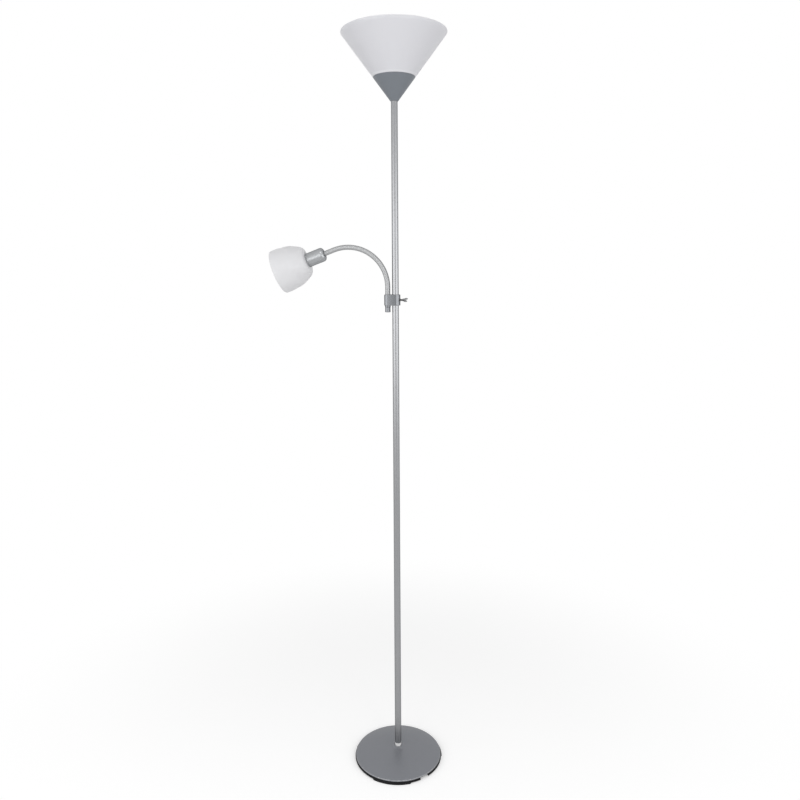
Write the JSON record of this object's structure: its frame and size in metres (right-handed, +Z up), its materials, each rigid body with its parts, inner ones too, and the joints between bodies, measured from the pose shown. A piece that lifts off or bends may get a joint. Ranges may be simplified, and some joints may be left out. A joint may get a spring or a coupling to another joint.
{
  "type": "torchiere floor lamp with reading light",
  "caption": "Tall floor lamp: round weighted base, slim silver pole, frosted cone uplighter, and a reading light with a frosted bell on a gooseneck clamped to the pole.",
  "frame": {"origin": "on the pole's axis, at the floor under the base", "axes": "+Z up along the pole; the reading light's arm reaches out along -X and bends in the XZ plane; -Y faces the viewer of the picture, about 10 degrees round from it"},
  "size_m": [0.4383, 0.2548, 1.8],
  "materials": {
    "cover_grey": "satin metallic lacquer",
    "black_plastic": "matt black moulding",
    "cast_iron": "sand cast, dipped black",
    "black_board": "black fibre board",
    "zinc_steel": "zinc plated",
    "bright_collar": "bright plated",
    "connector_plastic": "natural nylon",
    "lead_sheath": "black flexible sheath",
    "pole_silver": "silver lacquer",
    "cap_grey": "satin metallic grey",
    "lampholder_plastic": "white thermoset",
    "frosted_plastic": "frosted translucent white",
    "bulb_metal": "nickel plated brass",
    "bulb_glass": "opal glass",
    "liner_nylon": "natural nylon",
    "bracket_grey": "satin metallic grey",
    "insert_brass": "machined",
    "screw_zinc": "dull zinc casting",
    "gooseneck_steel": "satin plated, wound ridges",
    "housing_silver": "silver lacquer",
    "frosted_bell": "frosted translucent white"
  },
  "bodies": {
    "stand": {"base_cover": "cover_grey", "base_ring": "black_plastic", "base_weight": "cast_iron", "bottom_plate": "black_board", "base_washer": "zinc_steel", "base_lock_washer": "zinc_steel", "base_nut": "zinc_steel", "foot_nipple": "zinc_steel", "foot_collar": "bright_collar", "connector_block": "connector_plastic", "inner_lead": "lead_sheath", "pole_lower": "pole_silver", "pole_middle": "pole_silver", "pole_upper": "pole_silver", "pole_inserts": "zinc_steel", "pole_nipples": "zinc_steel", "top_nipple": "zinc_steel", "torchiere_cap": "cap_grey", "cap_nut": "zinc_steel", "torchiere_lampholder": "lampholder_plastic", "torchiere_shade": "frosted_plastic", "torchiere_shade_ring": "lampholder_plastic", "torchiere_bulb_cap": "bulb_metal", "torchiere_bulb": "bulb_glass"},
    "arm_liner": {"bracket_liner": "liner_nylon"},
    "arm_bracket": {"bracket": "bracket_grey", "clamp_insert": "insert_brass", "gooseneck_end_lower": "zinc_steel", "gooseneck_nut": "bracket_grey", "gooseneck_0": "gooseneck_steel"},
    "clamp_pad": {"clamp_pad": "liner_nylon"},
    "clamp_screw": {"wing_screw": "screw_zinc"},
    "neck_1": {"gooseneck_1": "gooseneck_steel"},
    "neck_2": {"gooseneck_2": "gooseneck_steel"},
    "neck_3": {"gooseneck_3": "gooseneck_steel"},
    "neck_4": {"gooseneck_4": "gooseneck_steel"},
    "neck_5": {"gooseneck_5": "gooseneck_steel"},
    "neck_6": {"gooseneck_6": "gooseneck_steel"},
    "neck_7": {"gooseneck_7": "gooseneck_steel"},
    "reading_head": {"gooseneck_8": "gooseneck_steel", "gooseneck_end_upper": "zinc_steel", "head_nut": "zinc_steel", "reading_housing": "housing_silver", "reading_lampholder": "lampholder_plastic", "reading_shade": "frosted_bell", "reading_shade_ring": "lampholder_plastic", "reading_bulb_cap": "bulb_metal", "reading_bulb": "bulb_glass"}
  },
  "joints": [
    {"name": "bracket_slide", "type": "slide", "parent": "stand", "child": "arm_liner", "axis": [0, 0, 1], "range_m": [-0.4, 0.08]},
    {"name": "bracket_swivel", "type": "hinge", "parent": "arm_liner", "child": "arm_bracket", "pos_m": [0, 0, 1.16175], "axis": [0, 0, 1], "range_deg": [-170, 170]},
    {"name": "clamp_pad_slide", "type": "slide", "parent": "arm_bracket", "child": "clamp_pad", "axis": [1, 0, 0], "range_m": [0, 0.0008]},
    {"name": "wing_screw_turn", "type": "hinge", "parent": "clamp_pad", "child": "clamp_screw", "pos_m": [0.02, 0, 1.16175], "axis": [1, 0, 0], "range_deg": [0, 360]},
    {"name": "lower_bend", "type": "hinge", "parent": "arm_bracket", "child": "neck_1", "pos_m": [-0.019, 0, 1.20492], "axis": [0, -1, 0], "range_deg": [-12, 9]},
    {"name": "lower_bend_2", "type": "hinge", "parent": "neck_1", "child": "neck_2", "pos_m": [-0.02472, 0, 1.22808], "axis": [0, -1, 0], "range_deg": [-12, 9]},
    {"name": "lower_bend_3", "type": "hinge", "parent": "neck_2", "child": "neck_3", "pos_m": [-0.03582, 0, 1.24918], "axis": [0, -1, 0], "range_deg": [-12, 9]},
    {"name": "lower_bend_4", "type": "hinge", "parent": "neck_3", "child": "neck_4", "pos_m": [-0.05167, 0, 1.26701], "axis": [0, -1, 0], "range_deg": [-12, 9]},
    {"name": "upper_bend", "type": "hinge", "parent": "neck_4", "child": "neck_5", "pos_m": [-0.07132, 0, 1.28052], "axis": [0, -1, 0], "range_deg": [-12, 9]},
    {"name": "upper_bend_2", "type": "hinge", "parent": "neck_5", "child": "neck_6", "pos_m": [-0.09364, 0, 1.28892], "axis": [0, -1, 0], "range_deg": [-12, 9]},
    {"name": "upper_bend_3", "type": "hinge", "parent": "neck_6", "child": "neck_7", "pos_m": [-0.11732, 0, 1.29172], "axis": [0, -1, 0], "range_deg": [-12, 9]},
    {"name": "upper_bend_4", "type": "hinge", "parent": "neck_7", "child": "reading_head", "pos_m": [-0.14099, 0, 1.28876], "axis": [0, -1, 0], "range_deg": [-12, 9]}
  ],
  "couplings": [
    {"joint": "clamp_pad_slide", "follows": "wing_screw_turn", "m_per_rad": 0.00012732},
    {"joint": "lower_bend_2", "follows": "lower_bend", "ratio": 1},
    {"joint": "lower_bend_3", "follows": "lower_bend", "ratio": 1},
    {"joint": "lower_bend_4", "follows": "lower_bend", "ratio": 1},
    {"joint": "upper_bend_2", "follows": "upper_bend", "ratio": 1},
    {"joint": "upper_bend_3", "follows": "upper_bend", "ratio": 1},
    {"joint": "upper_bend_4", "follows": "upper_bend", "ratio": 1}
  ]
}
